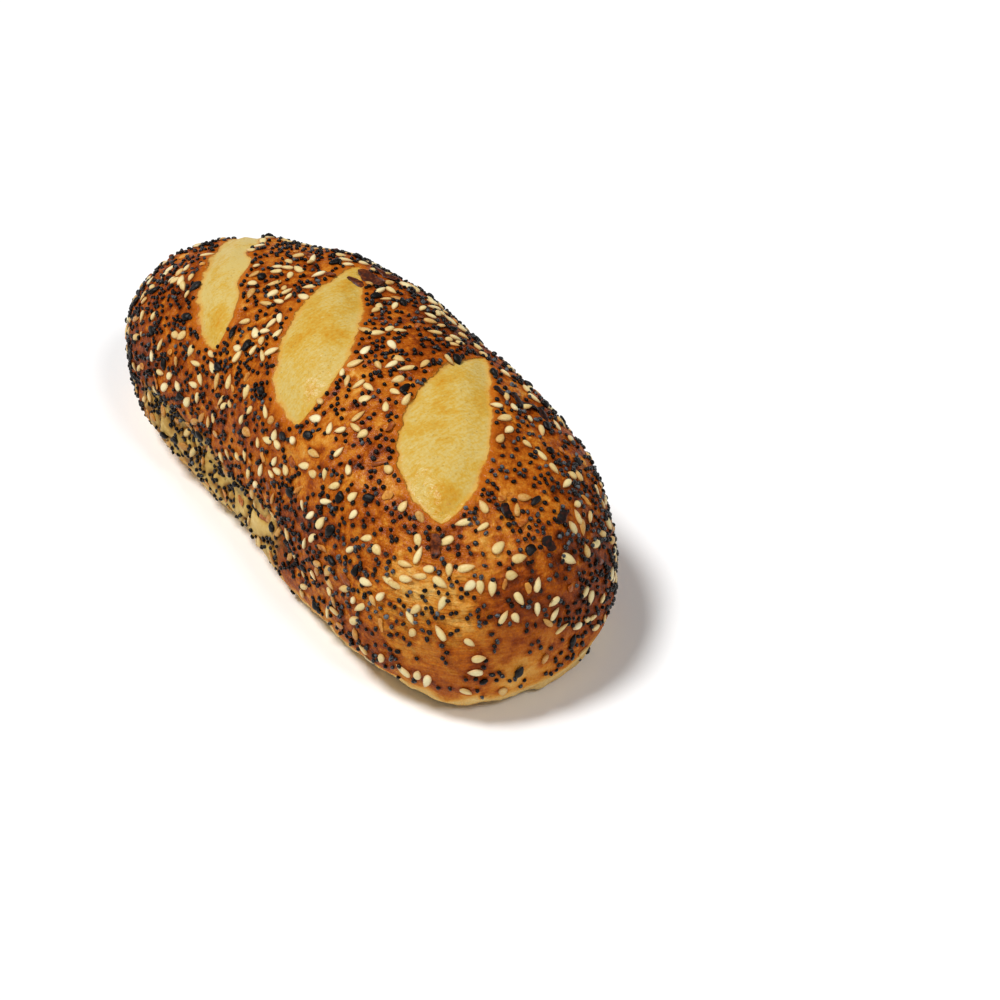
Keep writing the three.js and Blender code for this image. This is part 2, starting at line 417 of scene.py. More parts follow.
# How browned the crust is, from 0 to 1, and its slow changes: lump size and amount.
TOAST_LEVEL = 0.53
TOAST_LUMPS = ((24.0, 0.10), (9.0, 0.09))
# Paler and browner places of the crust: x, y, z, radius, and how much browner.
TOAST_SPOTS = (
    (58.7, -28.7, 27.9, 9.0, -0.20),
    (66.5, -20.6, 32.1, 7.0, -0.10),
    (64.3, -9.3, 39.4, 9.0, -0.09),
    (70.0, -6.0, 27.0, 13.0, 0.08),
    (56.8, -26.3, 33.6, 4.5, -0.08),
    (61.1, -25.3, 31.9, 4.5, -0.12),
    (66.7, -22.6, 29.5, 4.5, -0.18),
    (72.3, -19.5, 24.3, 4.5, -0.18),
    (76.6, -11.9, 13.4, 5.0, -0.15),
    (69.0, -25.0, 14.6, 7.0, 0.06),
    (72.7, -12.7, 29.9, 6.0, 0.06),
    (65.0, -27.0, 20.0, 8.0, -0.16),
    (76.8, -10.8, 8.0, 9.0, -0.12),
    (72.5, -19.9, 18.0, 14.0, 0.02),
    (-50.0, -29.0, 26.0, 14.0, 0.10),
    (-47.0, -19.0, 40.0, 12.0, 0.17),
    (-70.0, 5.0, 25.0, 18.0, 0.11),
    (70.0, 14.0, 25.6, 16.0, 0.14),
    (10.0, 24.0, 38.0, 20.0, 0.12),
    (18.0, -22.0, 36.0, 12.0, -0.10),
)
# The pale foot: its height, how it fades and sways, and how much browner it is.
PALE_FOOT = 8.0
PALE_FOOT_RUN = 4.0
PALE_FOOT_SWAY = 2.2
PALE_FOOT_NOISE = (7.0, 22)
PALE_FOOT_CHANGE = -0.45
# Evenly coloured crust: the foot's height, and the heel's x, y, z, radius and strength.
CALM_FOOT = 16.0
CALM_SPOT = (72.0, -16.0, 20.0, 19.0)
CALM_STRENGTH = 1.3

# The raw flank: how far along X it reaches, its level, sway and height, and its creases.
RAW_FROM = -56.0
RAW_TO = 24.0
RAW_FADE = 16.0
RAW_LEVEL = 12.5
RAW_SWAY = 2.5
RAW_NOISE = (18.0, 11)
RAW_HEIGHT = 8.0
CREASE_NOISE = (7.0, 12)
CREASE_WIDTH = 0.16
CREASE_DEPTH = 0.9

# Relief of the crust and of the dough in the slashes: lump size and height.
CRUST_LUMPS = ((15.0, 0.34), (6.0, 0.22), (2.6, 0.12))
SLASH_LUMPS = ((9.0, 0.16), (2.4, 0.05))
BLISTER_NOISE = (3.6, 34)
BLISTER_HEIGHT = 0.34
BLISTER_FROM = 0.34
BLISTER_RUN = 0.3
# Wrinkles of the near end: x, y, z, radius, stretch, noise and height.
WRINKLE_SPOT = (62.0, -23.0, 28.0, 17.0)
WRINKLE_STRETCH = np.array([0.9, 0.35, 1.0])
WRINKLE_NOISE = (2.6, 35)
WRINKLE_HEIGHT = 0.42

# How the slashes' colour wanders at their edges, and the farthest distance that counts.
RAGGED_SIZES = ((6.0, 0.8), (2.2, 0.35))
FARTHEST_EDGE = 12
# The browned base: how far in from its rim it is full, and how that sways.
UNDER_RUN = 6.5
UNDER_SWAY = 2.5
UNDER_SWAY_NOISE = (6.0, 71)


def blob(points, x, y, z, radius):
    off = (points - (x, y, z)) / radius
    return np.exp(-(off * off).sum(axis=1))


def raw_share(points):
    """How much of the surface is the raw, pale flank."""
    x, y, z = points.T
    along = span(x, RAW_FROM, RAW_TO, RAW_FADE)
    off = (z - RAW_LEVEL - RAW_SWAY * noise(points, *RAW_NOISE)) / RAW_HEIGHT
    return np.where(y < 0, along * np.exp(-(off**4)), 0)


def creases(points):
    return np.exp(-((noise(points, *CREASE_NOISE) / CREASE_WIDTH) ** 2))


def toast_level(points):
    level = TOAST_LEVEL + lumps(points, TOAST_LUMPS, TOAST_SEED)
    for x, y, z, radius, change in TOAST_SPOTS:
        level = level + change * blob(points, x, y, z, radius)
    rise = points[:, 2] + PALE_FOOT_SWAY * noise(points, *PALE_FOOT_NOISE)
    return level + PALE_FOOT_CHANGE * smooth_step((PALE_FOOT - rise) / PALE_FOOT_RUN)


def calm_share(points):
    """How evenly the crust is coloured: 1 at the foot and on the near end's heel, 0 elsewhere."""
    foot = smooth_step((CALM_FOOT - points[:, 2]) / CALM_FOOT)
    return np.maximum(foot, np.minimum(CALM_STRENGTH * blob(points, *CALM_SPOT), 1))


def crust_relief(points, inside, raw):
    """Height of the fine relief in mm."""
    skin = lumps(points, CRUST_LUMPS, CRUST_SEED)
    blister = noise(points, *BLISTER_NOISE) - BLISTER_FROM
    skin = skin + BLISTER_HEIGHT * smooth_step(blister / BLISTER_RUN)
    wrinkle = 1 - 2 * np.abs(noise(points * WRINKLE_STRETCH, *WRINKLE_NOISE))
    skin = skin + WRINKLE_HEIGHT * wrinkle * blob(points, *WRINKLE_SPOT)
    skin = skin - CREASE_DEPTH * raw * creases(points)
    cut = lumps(points, SLASH_LUMPS, SLASH_SEED)
    bare = smooth_step(0.5 + inside)
    return skin * (1 - bare) + cut * bare


def nearest_distance(places, points):
    """Distance from each point to the nearest place."""
    tree = KDTree(len(places))
    for k, place in enumerate(places):
        tree.insert(place, k)
    tree.balance()
    return np.array([tree.find(point)[2] for point in points])


def under_share(points, skin_quads, base_quads):
    """How browned the base is: 0 at its rim and on the rest of the roll, 1 further in."""
    base = np.unique(base_quads)
    inward = nearest_distance(points[np.intersect1d(base, skin_quads)], points[base])
    share = np.zeros(len(points))
    sway = UNDER_SWAY * noise(points[base], *UNDER_SWAY_NOISE)
    share[base] = smooth_step((inward + sway * smooth_step(inward)) / UNDER_RUN)
    return share


class Skin:
    """The body's finished surface, on which seeds and flakes are placed."""

    def __init__(self):
        points, skin_quads, base_quads, self.corner_uv, inside = loaf_body()
        self.quads = np.concatenate([skin_quads, base_quads])
        points = fit_to_frame(points)
        ragged = lumps(points, RAGGED_SIZES, RAGGED_SEED)
        self.inside = np.clip(inside + ragged, -FARTHEST_EDGE, FARTHEST_EDGE)
        self.raw = raw_share(points)
        self.toast = toast_level(points)
        self.creases = creases(points)
        rise = smooth_step(points[:, 2] / FOOT_RISE)
        outward = vertex_normals(points, self.quads)
        self.points = points + outward * (crust_relief(points, inside, self.raw) * rise)[:, None]
        self.normals = vertex_normals(self.points, self.quads)
        self.under = under_share(self.points, skin_quads, base_quads)
        corners = self.points[self.quads]
        self.centres = corners.mean(axis=1)
        diagonals = np.cross(corners[:, 2] - corners[:, 0], corners[:, 3] - corners[:, 1])
        self.areas = np.linalg.norm(diagonals, axis=1) / 2

    def by_quad(self, values):
        return values[self.quads].mean(axis=1)

    def at(self, quads, share):
        """Points and normals inside quads, by two shares from 0 to 1."""
        a, b = share[:, :1], share[:, 1:]
        weights = [(1 - a) * (1 - b), a * (1 - b), a * b, (1 - a) * b]
        points = sum(w * self.points[self.quads[quads, k]] for k, w in enumerate(weights))
        normals = sum(w * self.normals[self.quads[quads, k]] for k, w in enumerate(weights))
        return points, normals / np.linalg.norm(normals, axis=1, keepdims=True)

    def nearest(self, places):
        """Points and normals of the surface nearest to places given in mm."""
        found = [((self.points - place) ** 2).sum(axis=1).argmin() for place in np.asarray(places)]
        return self.points[found], self.normals[found]


# --- Node materials ---

# Sockets of the mix node when it mixes colours.
MIX_SHARE, MIX_A, MIX_B, MIX_RESULT = 0, 6, 7, 2


def srgb(red, green, blue):
    """A colour from 0-255 display values, as the linear colour that a node takes."""
    shares = [value / 255 for value in (red, green, blue)]
    return [s / 12.92 if s <= 0.04045 else ((s + 0.055) / 1.055) ** 2.4 for s in shares] + [1]


class Graph:
    """A material's node tree, built up by calls that return sockets."""

    def __init__(self, name):
        self.material = bpy.data.materials.new(name)
        self.material.use_nodes = True
        self.tree = self.material.node_tree
        self.shader = self.tree.nodes["Principled BSDF"]
        place = self.node("ShaderNodeTexCoord").outputs["Object"]
        self.mm = self.node("ShaderNodeVectorMath", {0: place, "Scale": 1 / MM}, operation="SCALE").outputs[0]

    def feed(self, sockets, inputs):
        for label, value in inputs.items():
            if isinstance(value, bpy.types.NodeSocket):
                self.tree.links.new(value, sockets[label])
            else:
                sockets[label].default_value = value

    def node(self, kind, inputs=None, **settings):
        made = self.tree.nodes.new(kind)
        for label, value in settings.items():
            setattr(made, label, value)
        self.feed(made.inputs, inputs or {})
        return made

    def value(self, name):
        return self.node("ShaderNodeAttribute", attribute_name=name).outputs["Fac"]

    def noise(self, size, seed, detail, stretch=None):
        """Noise from 0 to 1 with lumps `size` mm apart."""
        place = self.mm
        if stretch:
            place = self.node("ShaderNodeMapping", {"Vector": place, **stretch}).outputs[0]
        inputs = {"Vector": place, "W": seed, "Scale": 1 / size, "Detail": detail}
        return self.node("ShaderNodeTexNoise", inputs, noise_dimensions="4D").outputs["Fac"]

    def scaled(self, kind, amount):
        """Noise of a kind (size, seed, detail), times an amount."""
        return self.math("MULTIPLY", self.noise(*kind), amount)

    def wander(self, kind, amount, stretch=None):
        """Noise of a kind about 0, `amount` from its lowest to its highest."""
        return self.math("MULTIPLY", self.math("SUBTRACT", self.noise(*kind, stretch), 0.5), amount)

    def patches(self, kind, levels, amount):
        """Places where noise of a kind is past its levels, times an amount."""
        return self.math("MULTIPLY", self.step(self.noise(*kind), *levels), amount)

    def math(self, operation, a, b):
        return self.node("ShaderNodeMath", {0: a, 1: b}, operation=operation).outputs[0]

    def step(self, value, low, high, start=0.0, end=1.0):
        """`start` below low, `end` above high, and smooth between."""
        inputs = {"Value": value, "From Min": low, "From Max": high, "To Min": start, "To Max": end}
        return self.node("ShaderNodeMapRange", inputs, interpolation_type="SMOOTHSTEP").outputs[0]

    def ramp(self, value, *stops):
        made = self.node("ShaderNodeValToRGB", {"Fac": value})
        elements = made.color_ramp.elements
        while len(elements) < len(stops):
            elements.new(0.5)
        for element, (place, colour) in zip(elements, stops):
            element.position = place
            element.color = srgb(*colour)
        return made.outputs["Color"]

    def mix(self, share, a, b):
        inputs = {MIX_SHARE: share, MIX_A: a, MIX_B: b}
        return self.node("ShaderNodeMix", inputs, data_type="RGBA").outputs[MIX_RESULT]

    def bump(self, height, distance, below=None):
        inputs = {"Height": height, "Distance": distance * MM}
        if below:
            inputs["Normal"] = below
        return self.node("ShaderNodeBump", inputs).outputs[0]

    def finish(self, **values):
        self.feed(self.shader.inputs, {label.replace("_", " "): value for label, value in values.items()})
        return self.material


CRUST_STOPS = (
    (0.0, (230, 198, 128)),
    (0.2, (222, 166, 80)),
    (0.38, (206, 130, 40)),
    (0.54, (180, 94, 18)),
    (0.7, (142, 61, 8)),
    (0.86, (96, 38, 7)),
    (1.0, (46, 18, 6)),
)
SLASH_STOPS = ((0.0, (211, 185, 110)), (0.45, (207, 167, 69)), (1.0, (202, 141, 33)))
RAW_STOPS = ((0.2, (146, 98, 38)), (0.5, (202, 165, 88)), (0.8, (232, 204, 136)))
UNDER_STOPS = ((0.0, (152, 98, 40)), (0.5, (180, 126, 60)), (1.0, (202, 158, 94)))
RIM_COLOUR = (188, 98, 18)
SPECK_COLOUR = (160, 122, 56)
FLUSH_COLOUR = (214, 146, 46)

# Noise kinds are lump size, seed and detail. Steps are low, high and the values there.
# Mottles: kind and amount. Flecks: kind, the levels between which they show, and amount.
MOTTLES = (
    ((7.0, 1.0, 3.0), 0.5),
    ((2.4, 2.0, 3.0), 0.42),
    ((0.9, 3.0, 3.0), 0.42),
    ((0.4, 16.0, 3.0), 0.4),
)
FLECKS = (
    ((3.4, 4.0, 4.0), (0.55, 0.66), 0.16),
    ((2.6, 17.0, 5.0), (0.57, 0.7), -0.15),
)
CALM_MOTTLING = 0.55
# Browner crust round seeds: partly thicker glaze, partly painted contact shade.
SEED_GLAZE_AND_SHADE_CHANGE = 0.18
STREAKS = (1.5, 15.0, 4.0)
STREAK_STRETCH = {"Scale": (0.4, 0.4, 2.6)}
STREAK_SHARE = 0.06
WRINKLE_STREAKS = 0.6

RAW_TONES = (3.0, 5.0, 3.0)
# Painted shade in the raw flank's creases.
RAW_CREASE_SHADE = 0.4
RAW_EDGE = ((5.0, 6.0, 3.0), 0.6)
RAW_STEP = (0.5, 1.05)

# The slashes' edges: how they fray, the browned rim outside, the cut itself, and the flush just inside.
FRAY = ((0.8, 7.0, 2.0), 0.9)
RIM_STEP = (-2.2, -0.3, 0.0, 0.7)
CUT_STEP = (-0.25, 0.4)
FLUSH_STEP = (0.0, 1.4, 0.6, 0.0)
# The dough in them: fibres across, crumb, warmth, specks, paler edges, and the paler far slash along X.
FIBRES = ((1.0, 8.0, 5.0), 1.2, {"Rotation": (0, 0, math.radians(-45)), "Scale": (1.7, 0.6, 1)})
CRUMB = ((0.55, 18.0, 3.0), 1.3)
WARMTH = ((7.0, 9.0, 3.0), (0.38, 0.66), 0.55)
SPECKS = ((0.5, 10.0, 0.0), (0.7, 0.8), 0.45)
DOUGH_TONE = 0.2
PALE_EDGE_STEP = (0.2, 3.5, 0.6, 1.0)
FAR_SLASH_STEP = (-40.0, -20.0, 0.3, 0.0)
UNDER_TONES = ((5.0, 11.0, 8.0), (0.3, 0.7), 1.0)

# Finish from crust to dull dough. Bumps: noise kind and height in mm, the finest first.
ROUGHNESS = (0.26, 0.62)
ROUGHNESS_NOISE = ((1.6, 12.0, 2.0), 0.16)
DULL_RELIEF = 0.4
BUMPS = (((0.5, 13.0, 3.0), 0.16), ((1.5, 14.0, 3.0), 0.7))
STREAK_BUMP = 0.9
COAT = {"Coat_Weight": 0.22, "Coat_Roughness": 0.24}


def crust_tone(g, streaky):
    """How browned the crust is, with its mottling, flecks and streaks, and browner round seeds: partly
    thicker glaze, partly painted contact shade.
    """
    toast = g.value("toast")
    mottled = g.step(g.value("calm"), 0.0, 1.0, 1.0, CALM_MOTTLING)
    for kind, amount in MOTTLES:
        toast = g.math("ADD", toast, g.math("MULTIPLY", g.wander(kind, amount), mottled))
    for kind, levels, change in FLECKS:
        toast = g.math("ADD", toast, g.math("MULTIPLY", g.patches(kind, levels, mottled), change))
    # Browner round seeds: partly glaze, partly painted contact shade.
    toast = g.math("ADD", toast, g.math("MULTIPLY", g.value("beside"), SEED_GLAZE_AND_SHADE_CHANGE))
    return g.math("SUBTRACT", toast, streaky)


def raw_flank(g):
    """The raw flank's share of the surface, and its colour."""
    # Painted shade: the raw flank is darker along its creases.
    creased = g.math("MULTIPLY", g.value("creases"), RAW_CREASE_SHADE)
    tone = g.math("SUBTRACT", g.noise(*RAW_TONES), creased)
    share = g.step(g.math("ADD", g.value("raw"), g.scaled(*RAW_EDGE)), *RAW_STEP)
    return share, g.ramp(tone, *RAW_STOPS)


def slash_dough(g, edge):
    """The dough's colour, by the distance inside the slashes' edges."""
    crumb = g.math("ADD", g.wander(*FIBRES), g.wander(*CRUMB))
    tone = g.math("ADD", g.patches(*WARMTH), g.math("ADD", crumb, DOUGH_TONE))
    along = g.node("ShaderNodeSeparateXYZ", {0: g.mm}).outputs["X"]
    tone = g.math("MULTIPLY", tone, g.step(edge, *PALE_EDGE_STEP))
    tone = g.math("SUBTRACT", tone, g.step(along, *FAR_SLASH_STEP))
    dough = g.mix(g.patches(*SPECKS), g.ramp(tone, *SLASH_STOPS), srgb(*SPECK_COLOUR))
    return g.mix(g.step(edge, *FLUSH_STEP), dough, srgb(*FLUSH_COLOUR))


def crust_material():
    g = Graph("crust")
    streaks = g.noise(*STREAKS, STREAK_STRETCH)
    streak_share = g.math("ADD", g.math("MULTIPLY", g.value("wrinkles"), WRINKLE_STREAKS), STREAK_SHARE)
    streaky = g.math("MULTIPLY", g.math("SUBTRACT", streaks, 0.5), streak_share)
    crust = g.ramp(crust_tone(g, streaky), *CRUST_STOPS)
    raw, raw_colour = raw_flank(g)
    crust = g.mix(raw, crust, raw_colour)
    edge = g.math("ADD", g.value("slash"), g.wander(*FRAY))
    crust = g.mix(g.step(edge, *RIM_STEP), crust, srgb(*RIM_COLOUR))
    cut = g.step(edge, *CUT_STEP)
    colour = g.mix(cut, crust, slash_dough(g, edge))
    under = g.value("under")
    colour = g.mix(under, colour, g.ramp(g.patches(*UNDER_TONES), *UNDER_STOPS))

    dull = g.math("MAXIMUM", cut, g.math("MAXIMUM", raw, under))
    rough = g.math("ADD", g.step(dull, 0.0, 1.0, *ROUGHNESS), g.scaled(*ROUGHNESS_NOISE))
    relief = g.step(dull, 0.0, 1.0, 1.0, DULL_RELIEF)
    normal = None
    for kind, height in BUMPS:
        normal = g.bump(g.scaled(kind, relief), height, normal)
    normal = g.bump(g.math("MULTIPLY", streaks, streak_share), STREAK_BUMP, normal)
    glaze = {"Specular_IOR_Level": 0.0, "Coat_Normal": normal, **COAT}
    return g.finish(Base_Color=colour, Roughness=rough, Normal=normal, **glaze)


# A pip's browner point, its darker sides (a toasted rim with painted shade), and how uneven its gloss and
# relief are.
TIP_STEP = (0.8, 1.0, 0.0, 0.75)
SIDE_TOAST_AND_SHADE = 0.6
SEED_ROUGHNESS_AMOUNT = 0.14
SEED_BUMP_SCALE = 0.7
SEED_BUMP = 0.07


def seed_material(name, stops, roughness, grain, gloss, mottling, tip=None):
    """A seed's or flake's finish, by its tint. With a tip, its point is toasted brown and its sides darker: a
    toasted rim with painted shade.
    """
    g = Graph(name)
    colour = g.ramp(g.math("ADD", g.value("tint"), g.wander((grain, 1.0, 3.0), mottling)), *stops)
    if tip:
        side = g.math("MULTIPLY", g.value("side"), SIDE_TOAST_AND_SHADE)
        point = g.step(g.value("along"), *TIP_STEP)
        colour = g.mix(g.math("MAXIMUM", point, side), colour, srgb(*tip))
    rough = g.math("ADD", g.scaled((grain * 2, 2.0, 2.0), SEED_ROUGHNESS_AMOUNT), roughness)
    bump = g.bump(g.noise(grain * SEED_BUMP_SCALE, 3.0, 2.0), SEED_BUMP)
    return g.finish(Base_Color=colour, Roughness=rough, Normal=bump, Specular_IOR_Level=gloss)


# --- Seeds and flakes ---

# Draws for each place wanted, the steps to a cell's neighbours, and the margin of a bake map's cell.
TRIES = 4
NEIGHBOURS = [tuple(np.array(step) - 1) for step in np.ndindex(3, 3, 3)]
CELL_MARGIN = 0.06
# Painted shade and toasted rim on a pip's side: at its middle, and how fast it falls upwards.
SIDE_LEVEL = 1.45
SIDE_FALL = 3.6
SEED_TILT = 0.12
SEED_STEEPEST = 0.9


def pip_form(rings, sides, bulge, bluntness, bend=0.0, point=0.0):
    """A closed pip along X, of unit size: points, face groups and their bake map corners from 0 to 1."""
    t = (1 - np.cos(np.pi * np.arange(1, rings) / rings)) / 2
    breadth = np.sin(np.pi * t**bulge) ** (bluntness + point * t) / 2
    turn = 2 * np.pi * np.arange(sides) / sides
    x = np.repeat(t - 0.5, sides)
    y = np.outer(breadth, np.cos(turn)).ravel() + bend * (1 - 4 * x * x)
    z = np.outer(breadth, np.sin(turn)).ravel()
    points = np.concatenate([np.stack([x, y, z], axis=1), [[-0.5, 0, 0], [0.5, 0, 0]]])
    side = np.arange(sides)
    after = (side + 1) % sides
    last = (rings - 2) * sides
    pole = last + sides
    quads, quad_map = [], []
    for ring in range(rings - 2):
        here, there = ring * sides, (ring + 1) * sides
        quads.append(np.stack([here + side, here + after, there + after, there + side], axis=1))
        u = np.array([t[ring], t[ring], t[ring + 1], t[ring + 1]])
        v = (side[:, None] + np.array([0, 1, 1, 0])) / sides
        quad_map.append(np.stack(np.broadcast_arrays(u, v), axis=-1))
    start = np.stack([np.full_like(side, pole), after, side], axis=1)
    end = np.stack([np.full_like(side, pole + 1), last + side, last + after], axis=1)
    end_map = [np.array([0, t[0], t[0]]), np.array([1, t[-1], t[-1]])]
    v = [(side[:, None] + np.array(order)) / sides for order in ([0.5, 1, 0], [0.5, 0, 1])]
    tri_map = [np.stack(np.broadcast_arrays(a, b), axis=-1) for a, b in zip(end_map, v)]
    groups = [np.concatenate(quads), np.concatenate([start, end])]
    return points, groups, [np.concatenate(quad_map), np.concatenate(tri_map)]


def kept_apart(points, order, spacing, wanted):
    """The first points in order that are `spacing` mm apart, as many as are wanted."""
    cells, kept = {}, []
    for k in order:
        cell = tuple(np.floor(points[k] / spacing).astype(int))
        groups = [cells.get((cell[0] + a, cell[1] + b, cell[2] + c)) for a, b, c in NEIGHBOURS]
        near = [n for group in groups if group for n in group]
        if all(((points[k] - points[n]) ** 2).sum() >= spacing**2 for n in near):
            cells.setdefault(cell, []).append(k)
            kept.append(k)
        if len(kept) == wanted:
            break
    return kept


def scatter(skin, density, spacing, seed, taken):
    """Random places on the skin, `spacing` mm apart, and clear of the taken (points, distance) pairs."""
    rng = np.random.default_rng(seed)
    weight = skin.areas * density
    wanted = int(round(weight.sum()))
    quads = rng.choice(len(weight), size=wanted * TRIES, p=weight / weight.sum())
    points, normals = skin.at(quads, rng.random((len(quads), 2)))
    free = np.ones(len(points), bool)
    for others, distance in taken:
        for k, point in enumerate(points):
            if free[k]:
                free[k] = ((others - point) ** 2).sum(axis=1).min() > distance * distance
    kept = kept_apart(points, np.flatnonzero(free), spacing, wanted)
    return points[kept], normals[kept]


def turned_frames(normals, yaw, tilt, rng):
    """Axes along, across and out for each normal, leaning at random by up to about `tilt`."""
    out = normals + tilt * rng.normal(size=normals.shape)
    out /= np.linalg.norm(out, axis=1, keepdims=True)
    spare = np.where(np.abs(out[:, 2:]) < SEED_STEEPEST, [[0.0, 0.0, 1.0]], [[1.0, 0.0, 0.0]])
    east = np.cross(spare, out)
    east /= np.linalg.norm(east, axis=1, keepdims=True)
    north = np.cross(out, east)
    along = east * np.cos(yaw)[:, None] + north * np.sin(yaw)[:, None]
    return np.stack([along, np.cross(out, along), out], axis=1)


def place_copies(name, form, places, sizes, sunk, tint, material, seed, tilt=SEED_TILT, yaw=None, warp=None):
    """One piece from copies of a form, with places, sizes, tints and turns of their own."""
    unit, groups, maps = form
    points, normals = places
    rng = np.random.default_rng(seed)
    count = len(points)
    yaw = rng.uniform(0, 2 * np.pi, count) if yaw is None else yaw
    frames = turned_frames(normals, yaw, tilt, rng)
    local = unit[None] * sizes[:, None, :]
    if warp:
        local = warp(local, rng)
    local[:, :, 2] += (sizes[:, 2] * (0.5 - sunk))[:, None]
    world = points[:, None, :] + np.einsum("npk,nkj->npj", local, frames)
    starts = len(unit) * np.arange(count)[:, None, None]
    faces = [(group[None] + starts).reshape(-1, group.shape[1]) for group in groups]
    across = math.ceil(math.sqrt(count))
    cells = np.stack(np.divmod(np.arange(count), across), axis=1)[:, None, None, :] + CELL_MARGIN
    used = 1 - 2 * CELL_MARGIN
    corner_uv = [((cells + used * chart[None]) / across).reshape(-1, 2) for chart in maps]
    values = {
        "tint": np.repeat(tint, len(unit)),
        "along": np.tile(unit[:, 0] + 0.5, count),
        # Darker sides below a pip's top: toasted rim and painted shade.
        "side": np.tile(smooth_step(SIDE_LEVEL - unit[:, 2] * SIDE_FALL), count),
    }
    return make_piece(name, world.reshape(-1, 3), faces, np.concatenate(corner_uv), values, material)


def varied(rng, count, size, spread):
    """Sizes around `size`, each side varying by about `spread` of itself."""
    return np.array(size) * np.clip(1 + spread * rng.normal(size=(count, 3)), 1 - 2 * spread, 1 + 2 * spread)


# Densities are by mm2 of crust. Bands run along X: place, and the density there.
SESAME_BANDS = ((-78.0, 0.030), (-50.0, 0.034), (0.0, 0.038), (40.0, 0.033), (60.0, 0.029), (78.0, 0.026))
POPPY_BANDS = ((-78.0, 0.27), (-45.0, 0.26), (0.0, 0.22), (40.0, 0.20), (60.0, 0.19), (78.0, 0.16))
NEAR_END = 50.0
# The foot, where few seeds stick: its height and sway, and the share that strayed there.
SEEDLESS_FOOT = 5.5
SEEDLESS_SWAY = 3
SEEDLESS_NOISE = (14.0, 60)
STRAY_SHARE = 0.04
LOWEST_SEED = 1.2
SEED_EDGE = -0.6
# Zones of the crust: axis, where the zone begins, and the run to its full strength.
RIDGE_ZONE = ((1, 2.0, 14.0), (2, 22.0, 12.0))
RIDGE_SHARE = 0.5
RIDGE_END = 45.0
BARE_HEEL = ((0, 54.0, 10.0), (2, 26.0, -9.0), (1, 3.0, -8.0))
BARE_HEEL_LOSS = 0.7
PACKED_HEEL = ((0, 50.0, 10.0), (1, 2.0, 8.0))
PACKED_HEEL_GAIN = 0.6


def zone_share(points, zone):
    share = 1
    for axis, begin, run in zone:
        share = share * smooth_step((points[:, axis] - begin) / run)
    return share


def open_crust(skin):
    """1 where seeds stuck to the crust, falling to 0 at the foot, in the slashes and underneath."""
    z = skin.centres[:, 2]
    sway = SEEDLESS_SWAY * noise(skin.centres, *SEEDLESS_NOISE)
    foot = smooth_step((z - SEEDLESS_FOOT + sway) / SEEDLESS_FOOT)
    clear = skin.by_quad(skin.inside) < SEED_EDGE
    stuck = (STRAY_SHARE + (1 - STRAY_SHARE) * foot) * clear
    return stuck * (1 - skin.by_quad(skin.under)) * (z > LOWEST_SEED)


def banded_density(skin, bands):
    """Density of seeds by band, with more on the ridge's far side."""
    places, values = zip(*bands)
    x = skin.centres[:, 0]
    ridge = 1 + RIDGE_SHARE * zone_share(skin.centres, RIDGE_ZONE) * (x < RIDGE_END)
    return np.interp(x, places, values) * open_crust(skin) * ridge


def heel_share(skin):
    """Fewer seeds low on the left of the near end, and more on its right."""
    bare = zone_share(skin.centres, BARE_HEEL)
    packed = zone_share(skin.centres, PACKED_HEEL)
    return 1 - BARE_HEEL_LOSS * bare + PACKED_HEEL_GAIN * packed


SESAME_STOPS = ((0.0, (190, 128, 54)), (0.25, (214, 172, 98)), (0.6, (232, 208, 142)), (1.0, (242, 228, 178)))
# The poppy's lighter blue-grey stops are partly its own slate colour, partly a painted sheen in its mottles.
POPPY_STOPS = ((0.0, (9, 5, 2)), (0.5, (19, 13, 9)), (0.78, (42, 39, 38)), (1.0, (98, 103, 106)))
BLACK_STOPS = ((0.0, (7, 4, 2)), (0.6, (15, 11, 8)), (1.0, (36, 33, 33)))
FLAKE_STOPS = ((0.0, (16, 8, 5)), (0.3, (74, 28, 8)), (0.6, (158, 76, 16)), (1.0, (222, 156, 66)))
SESAME_TIP = (186, 118, 40)

# Kinds of seed: size along, across and up in mm, how much it varies, distance between middles, share of
# the height that is sunk, middle and spread of the tint from dark 0 to light 1, and random seed.
SESAME = ((3.15, 1.68, 0.78), 0.13, 2.1, 0.28, (0.58, 0.22), 101)
POPPY = ((1.12, 0.97, 0.84), 0.14, 0.9, 0.2, (0.5, 0.2), 111)
BLACK = ((2.75, 1.85, 1.2), 0.14, 6.0, 0.25, (0.3, 0.2), 121)
DARKEST_TINT = 0.02
LARGEST_SEED = 1 << 30

# Sesame: clumps by lump size and strength. Lower seeds get painted shade, as darker tints, except on the near
# end.
SESAME_CLUMPS = (((11.0, 0.7),), 61)
SESAME_CLUMP_RANGE = (0.25, 2)
SESAME_RAW_LOSS = 0.6
LOW_SEEDS = 34.0
LOW_SEEDS_RUN = 18.0
LOW_SEEDS_SHADE = 0.3
# Poppy: clumps with their mean, how the raw flank's creases collect them, and a painted highlight: lighter
# tints past an x on the near end.
POPPY_CLUMPS = (((4.5, 0.8), (12.0, 0.6)), 62)
POPPY_CLUMP_MEAN = 1.25
POPPY_CREASE_GAIN = 4.4
POPPY_RAW_LOSS = 0.9
POPPY_TILT = 0.3
POPPY_PAINTED_HIGHLIGHT_FROM = 40.0
POPPY_PAINTED_HIGHLIGHT = 0.12
# Larger seeds: density, lowest place, fewer on the near end, and how knobbly they are.
BLACK_SHARES = (0.0048, 9.0, 0.4)
KNOB_SIZE = 1.15
KNOB_SHARE = 0.32


def lay_seeds(skin, name, kind, density, taken, form, finish, change=None, **turning):
    """One piece of seeds. `change` gives what their places add to their tints."""
    size, spread, distance, sunk, tints, seed = kind
    places = scatter(skin, density, distance, seed, taken)
    rng = np.random.default_rng(seed + 1)
    count = len(places[0])
    sizes = varied(rng, count, size, spread)
    tint = rng.normal(*tints, count)
    if change:
        tint = tint + change(*places[0].T)
    tint = np.clip(tint, DARKEST_TINT, 1)
    place_copies(name, form, places, sizes, sunk, tint, finish, seed + 2, **turning)
    return places[0]


